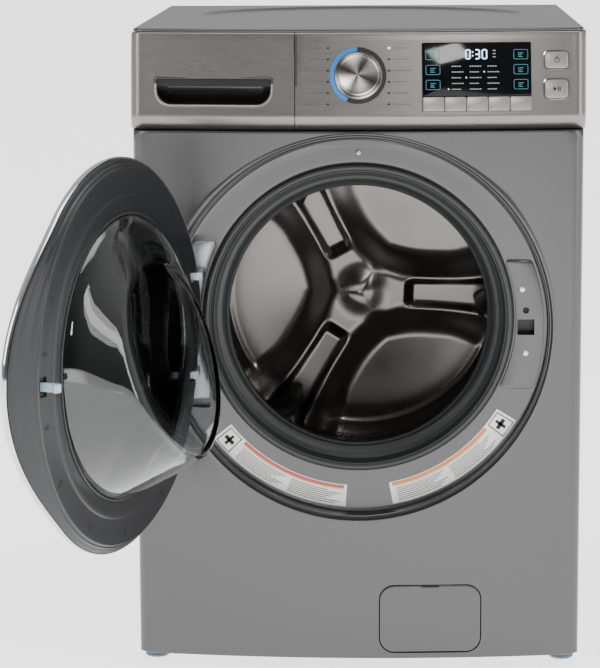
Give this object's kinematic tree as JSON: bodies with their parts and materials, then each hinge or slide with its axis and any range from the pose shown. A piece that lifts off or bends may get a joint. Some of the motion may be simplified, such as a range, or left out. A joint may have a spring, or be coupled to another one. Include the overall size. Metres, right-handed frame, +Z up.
{
  "type": "front load washing machine",
  "caption": "Front load washing machine with a round glass door, sprung tub, belt-driven drum, detergent drawer and control panel.",
  "frame": {"origin": "centre of the underside of the base pan, between the feet", "axes": "+Z up, +Y from the door to the back, +X to the right seen from the front"},
  "size_m": [0.8204, 1.3266, 0.99],
  "materials": {
    "painted_steel": "satin metallic grey",
    "brushed_fascia": "satin champagne silver with a fine brushed grain",
    "black_gloss": "polished",
    "black_plastic": "moulded, fine grain",
    "chrome": "bright plated",
    "galvanised": "zinc coated sheet",
    "stainless": "satin stainless steel",
    "knob_metal": "spun face",
    "rubber": "matte",
    "tub_plastic": "glass filled moulding",
    "white_plastic": "moulded",
    "concrete": "cast",
    "cast_aluminium": "as cast",
    "dark_steel": "oiled",
    "belt_rubber": "ribbed",
    "glass": "clear moulded",
    "circuit_board": "solder resist",
    "blue_grey_plastic": "moulded",
    "key_plastic": "satin silver",
    "latch_plastic": "moulded acetal"
  },
  "bodies": {
    "cabinet": {"side_panel_left": "painted_steel", "side_panel_right": "painted_steel", "rear_panel": "painted_steel", "rear_access_cover": "painted_steel", "base_pan": "galvanised", "front_panel": "painted_steel", "top_panel": "painted_steel", "control_fascia": "brushed_fascia", "display_window": "black_gloss", "control_board": "circuit_board", "dispenser_housing": "white_plastic", "inlet_valve": "white_plastic", "mains_inlet": "black_plastic", "door_lock": "black_plastic", "hinge_bracket": "galvanised", "door_gasket": "rubber", "drain_pump": "black_plastic", "sump_hose": "rubber", "suspension_spring_left": "dark_steel", "suspension_spring_right": "dark_steel", "damper_left": "tub_plastic", "damper_right": "tub_plastic"},
    "tub": {"tub_front": "tub_plastic", "tub_rear": "tub_plastic", "counterweight_front": "concrete", "counterweight_top": "concrete", "motor": "dark_steel", "bearing_front": "dark_steel", "bearing_rear": "dark_steel", "drive_belt": "belt_rubber"},
    "drum": {"drum_shell": "stainless", "drum_back": "stainless", "lifter_1": "black_plastic", "lifter_2": "black_plastic", "lifter_3": "black_plastic", "drum_spider": "cast_aluminium", "drum_pulley": "cast_aluminium"},
    "motor_rotor": {"motor_pulley": "dark_steel"},
    "door": {"door_trim_ring": "chrome", "door_inner_frame": "black_plastic", "door_glass": "glass", "door_cover": "black_gloss", "hinge_arm": "galvanised"},
    "latch": {"latch_hook": "latch_plastic"},
    "drawer": {"drawer_front": "brushed_fascia", "drawer_tray": "white_plastic"},
    "knob": {"program_knob": "knob_metal"},
    "power": {"power_button": "key_plastic"},
    "start": {"start_button": "key_plastic"},
    "key_1": {"option_key_1": "key_plastic"},
    "key_2": {"option_key_2": "key_plastic"},
    "key_3": {"option_key_3": "key_plastic"},
    "key_4": {"option_key_4": "key_plastic"},
    "key_5": {"option_key_5": "key_plastic"},
    "hatch": {"filter_hatch": "painted_steel"},
    "filter": {"pump_filter": "blue_grey_plastic"},
    "foot_fl": {"foot_front_left": "blue_grey_plastic"},
    "foot_fr": {"foot_front_right": "blue_grey_plastic"},
    "foot_rl": {"foot_rear_left": "blue_grey_plastic"},
    "foot_rr": {"foot_rear_right": "blue_grey_plastic"}
  },
  "joints": [
    {"name": "door_hinge", "type": "hinge", "parent": "cabinet", "child": "door", "pos_m": [-0.255, -0.3945, 0.521], "axis": [0, 0, 1], "range_deg": [0, 110]},
    {"name": "latch_pivot", "type": "hinge", "parent": "door", "child": "latch", "pos_m": [-0.42683, -0.87682, 0.514], "axis": [0, 0, 1], "range_deg": [0, 8], "stiffness_Nm_per_rad": 0.3},
    {"name": "tub_bounce", "type": "slide", "parent": "cabinet", "child": "tub", "axis": [0, 0, 1], "range_m": [-0.012, 0.012], "stiffness_N_per_m": 40000, "springref_m": 0.01111, "deforming": ["suspension_spring_left", "suspension_spring_right", "damper_left", "damper_right", "sump_hose", "door_gasket"]},
    {"name": "drum_spin", "type": "hinge", "parent": "tub", "child": "drum", "pos_m": [0, -0.3225, 0.526], "axis": [0, 0.9986, -0.0523], "continuous": true},
    {"name": "motor_spin", "type": "hinge", "parent": "tub", "child": "motor_rotor", "pos_m": [0, -0.34092, 0.17448], "axis": [0, 0.9986, -0.0523], "continuous": true},
    {"name": "drawer_slide", "type": "slide", "parent": "cabinet", "child": "drawer", "axis": [0, -1, 0], "range_m": [0, 0.24]},
    {"name": "knob_turn", "type": "hinge", "parent": "cabinet", "child": "knob", "pos_m": [0.001, -0.39578, 0.9007], "axis": [0.0005, -0.989, 0.1478], "continuous": true},
    {"name": "power_press", "type": "slide", "parent": "cabinet", "child": "power", "axis": [-0.1502, 0.9775, -0.1478], "range_m": [0, 0.0015], "stiffness_N_per_m": 800},
    {"name": "start_press", "type": "slide", "parent": "cabinet", "child": "start", "axis": [-0.1502, 0.9775, -0.1478], "range_m": [0, 0.0015], "stiffness_N_per_m": 800},
    {"name": "key_1_press", "type": "slide", "parent": "cabinet", "child": "key_1", "axis": [-0.0899, 0.9849, -0.1478], "range_m": [0, 0.0012], "stiffness_N_per_m": 800},
    {"name": "key_2_press", "type": "slide", "parent": "cabinet", "child": "key_2", "axis": [-0.0899, 0.9849, -0.1478], "range_m": [0, 0.0012], "stiffness_N_per_m": 800},
    {"name": "key_3_press", "type": "slide", "parent": "cabinet", "child": "key_3", "axis": [-0.0899, 0.9849, -0.1478], "range_m": [0, 0.0012], "stiffness_N_per_m": 800},
    {"name": "key_4_press", "type": "slide", "parent": "cabinet", "child": "key_4", "axis": [-0.0899, 0.9849, -0.1478], "range_m": [0, 0.0012], "stiffness_N_per_m": 800},
    {"name": "key_5_press", "type": "slide", "parent": "cabinet", "child": "key_5", "axis": [-0.0899, 0.9849, -0.1478], "range_m": [0, 0.0012], "stiffness_N_per_m": 800},
    {"name": "hatch_hinge", "type": "hinge", "parent": "cabinet", "child": "hatch", "pos_m": [0.1115, -0.4026, 0.008], "axis": [1, 0, 0], "range_deg": [0, 95]},
    {"name": "filter_turn", "type": "hinge", "parent": "cabinet", "child": "filter", "pos_m": [0.104, -0.3385, 0.06], "axis": [0, -1, 0], "range_deg": [0, 90]},
    {"name": "foot_fl_screw", "type": "slide", "parent": "cabinet", "child": "foot_fl", "axis": [0, 0, -1], "range_m": [0, 0.02]},
    {"name": "foot_fr_screw", "type": "slide", "parent": "cabinet", "child": "foot_fr", "axis": [0, 0, -1], "range_m": [0, 0.02]},
    {"name": "foot_rl_screw", "type": "slide", "parent": "cabinet", "child": "foot_rl", "axis": [0, 0, -1], "range_m": [0, 0.02]},
    {"name": "foot_rr_screw", "type": "slide", "parent": "cabinet", "child": "foot_rr", "axis": [0, 0, -1], "range_m": [0, 0.02]}
  ],
  "couplings": [
    {"joint": "motor_spin", "follows": "drum_spin", "ratio": 12.5}
  ]
}
